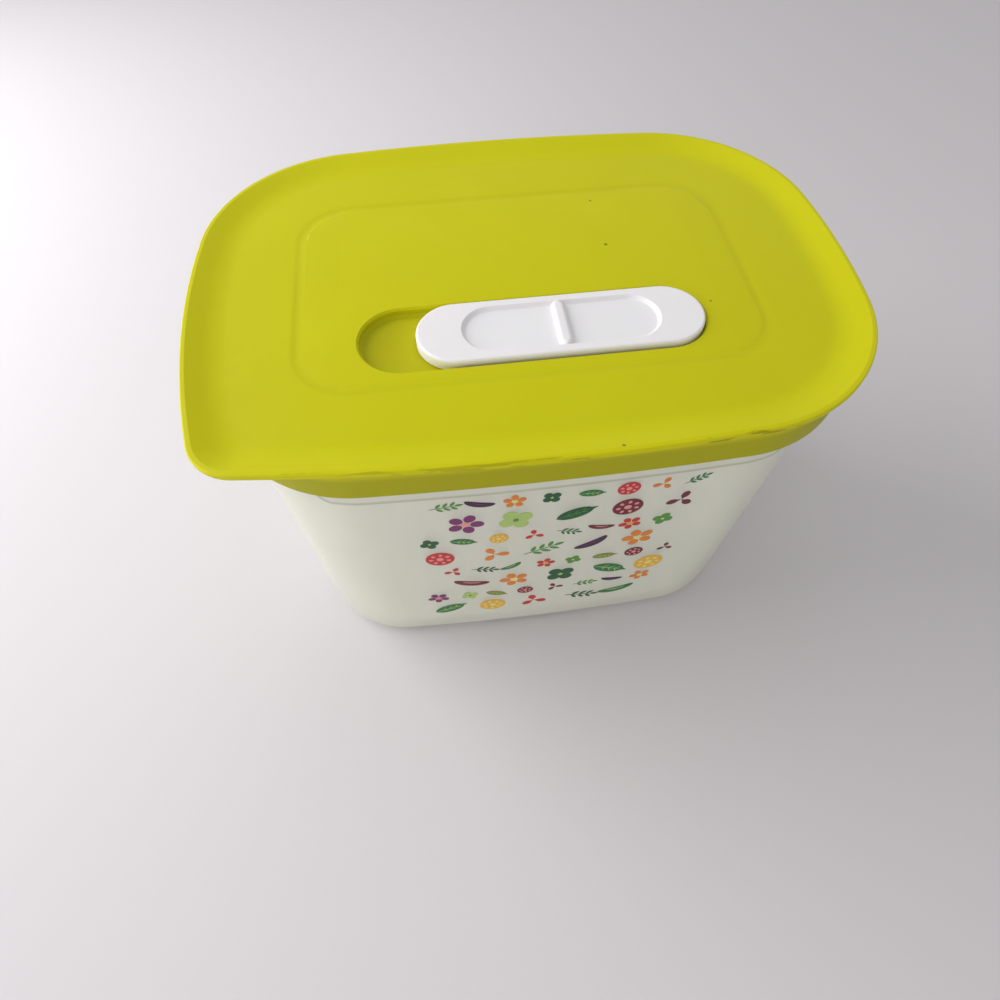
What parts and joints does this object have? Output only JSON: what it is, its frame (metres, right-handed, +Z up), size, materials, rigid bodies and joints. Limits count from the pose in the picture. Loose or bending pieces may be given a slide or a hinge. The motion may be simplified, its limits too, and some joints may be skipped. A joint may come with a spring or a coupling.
{
  "type": "produce storage container",
  "caption": "Rounded rectangular translucent produce tub with a push-on tray lid that has a lifting corner and a sliding air vent.",
  "frame": {"origin": "centre of the overall footprint, on the surface the tub stands on", "axes": "+X along the length towards the closed end of the vent slide, +Y to the back, away from the lifting corner's side, +Z up"},
  "size_m": [0.1998, 0.1428, 0.1256],
  "materials": {
    "tub_plastic": "satin, translucent off-white",
    "lid_plastic": "fine grain, lime green",
    "slider_plastic": "satin white",
    "seal_rubber": "soft, pale grey"
  },
  "bodies": {
    "tub_body": {"tub": "tub_plastic"},
    "lid_body": {"lid": "lid_plastic"},
    "slider_body": {"vent_slider": "slider_plastic", "slider_keeper": "slider_plastic", "left_port_seal": "seal_rubber", "right_port_seal": "seal_rubber", "slot_seal": "seal_rubber"}
  },
  "joints": [
    {"name": "lid_lift", "type": "slide", "parent": "tub_body", "child": "lid_body", "axis": [0, 0, 1], "range_m": [0, 0.06]},
    {"name": "vent_slide", "type": "slide", "parent": "lid_body", "child": "slider_body", "axis": [-1, 0, 0], "range_m": [0, 0.0158]}
  ]
}
